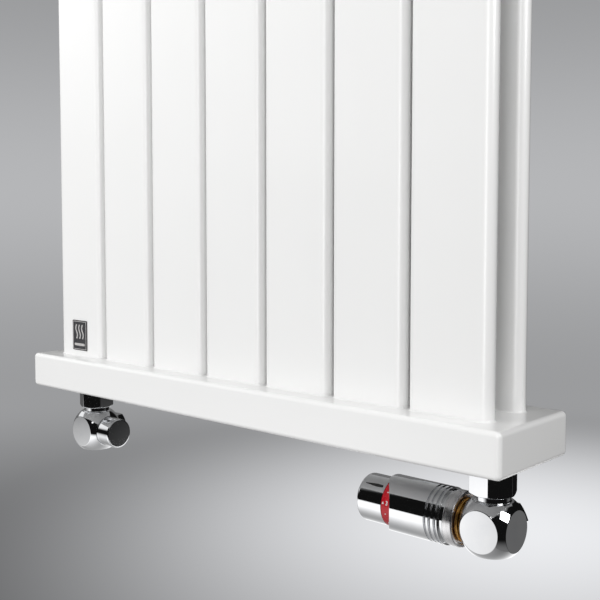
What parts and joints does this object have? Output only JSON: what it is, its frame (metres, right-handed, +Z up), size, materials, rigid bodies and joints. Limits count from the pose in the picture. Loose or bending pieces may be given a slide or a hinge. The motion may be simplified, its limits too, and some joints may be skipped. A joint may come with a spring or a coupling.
{
  "type": "radiator with valve",
  "caption": "Tall white flat-tube wall radiator with two tube rows, box headers, a chrome thermostatic corner valve and a chrome lockshield corner valve underneath.",
  "frame": {"origin": "on the wall plane, in the middle of the radiator's width, level with the bottom header's underside", "axes": "+X to the right along the radiator seen from the room, +Y into the wall, +Z up"},
  "size_m": [0.566, 0.135, 1.8729],
  "materials": {
    "white_coat": "gloss white powder coat",
    "chrome": "polished",
    "satin_chrome": "satin plated",
    "brass": "machined",
    "steel": "drawn stainless",
    "zinc": "zinc plated",
    "rubber": "matt",
    "black_plastic": "moulded",
    "red_plastic": "moulded",
    "badge": "dark enamel"
  },
  "bodies": {
    "radiator": {"header_bottom": "white_coat", "header_top": "white_coat", "header_cap_bottom_left": "white_coat", "header_cap_bottom_right": "white_coat", "header_cap_top_left": "white_coat", "header_cap_top_right": "white_coat", "tube_front_1": "white_coat", "tube_front_2": "white_coat", "tube_front_3": "white_coat", "tube_front_4": "white_coat", "tube_front_5": "white_coat", "tube_front_6": "white_coat", "tube_front_7": "white_coat", "tube_rear_1": "white_coat", "tube_rear_2": "white_coat", "tube_rear_3": "white_coat", "tube_rear_4": "white_coat", "tube_rear_5": "white_coat", "tube_rear_6": "white_coat", "tube_rear_7": "white_coat", "lug_bottom_left": "white_coat", "lug_bottom_right": "white_coat", "lug_top_left": "white_coat", "lug_top_right": "white_coat", "badge": "badge", "vent_plug": "chrome", "blind_plug": "chrome", "trv_body": "chrome", "trv_tailpiece": "chrome", "trv_union_nut": "chrome", "trv_compression_nut": "chrome", "lock_body": "chrome", "lock_tailpiece": "chrome", "lock_union_nut": "chrome", "lock_compression_nut": "chrome", "head_sleeve": "chrome", "head_collar": "satin_chrome", "trv_insert": "brass", "trv_gland": "brass", "trv_olive": "brass", "lock_olive": "brass", "lock_bonnet": "brass", "trv_spring": "steel", "bracket_bottom_left": "zinc", "bracket_bottom_right": "zinc", "bracket_top_left": "zinc", "bracket_top_right": "zinc", "trv_gasket": "rubber", "lock_gasket": "rubber", "head_chassis": "black_plastic", "head_scale_ring": "red_plastic"},
    "knob": {"head_knob": "chrome"},
    "sensor": {"head_sensor": "brass", "head_pin": "steel"},
    "stem": {"trv_spindle": "steel", "trv_disc": "rubber"},
    "lockshield_cap": {"lock_cap": "chrome"},
    "lockshield_spindle": {"lock_spindle": "brass"},
    "vent_screw": {"vent_screw": "brass"}
  },
  "joints": [
    {"name": "knob_turn", "type": "hinge", "parent": "radiator", "child": "knob", "pos_m": [0.142, -0.081, -0.0505], "axis": [-1, 0, 0], "range_deg": [-140, 140]},
    {"name": "sensor_travel", "type": "slide", "parent": "radiator", "child": "sensor", "axis": [-1, 0, 0], "range_m": [-0.0013, 0.0013]},
    {"name": "stem_travel", "type": "slide", "parent": "radiator", "child": "stem", "axis": [-1, 0, 0], "range_m": [-0.00125, 0.0013], "deforming": ["trv_spring"]},
    {"name": "lockshield_cap_pull", "type": "slide", "parent": "radiator", "child": "lockshield_cap", "axis": [1, 0, 0], "range_m": [0, 0.04]},
    {"name": "lockshield_turn", "type": "hinge", "parent": "radiator", "child": "lockshield_spindle", "pos_m": [-0.222, -0.081, -0.0505], "axis": [1, 0, 0], "range_deg": [-180, 180]},
    {"name": "vent_screw_turn", "type": "hinge", "parent": "radiator", "child": "vent_screw", "pos_m": [0.278, -0.085, 1.783], "axis": [1, 0, 0], "range_deg": [0, 180]}
  ],
  "couplings": [
    {"joint": "sensor_travel", "follows": "knob_turn", "m_per_rad": 0.00049111},
    {"joint": "stem_travel", "follows": "knob_turn", "m_per_rad": 0.00049111}
  ]
}
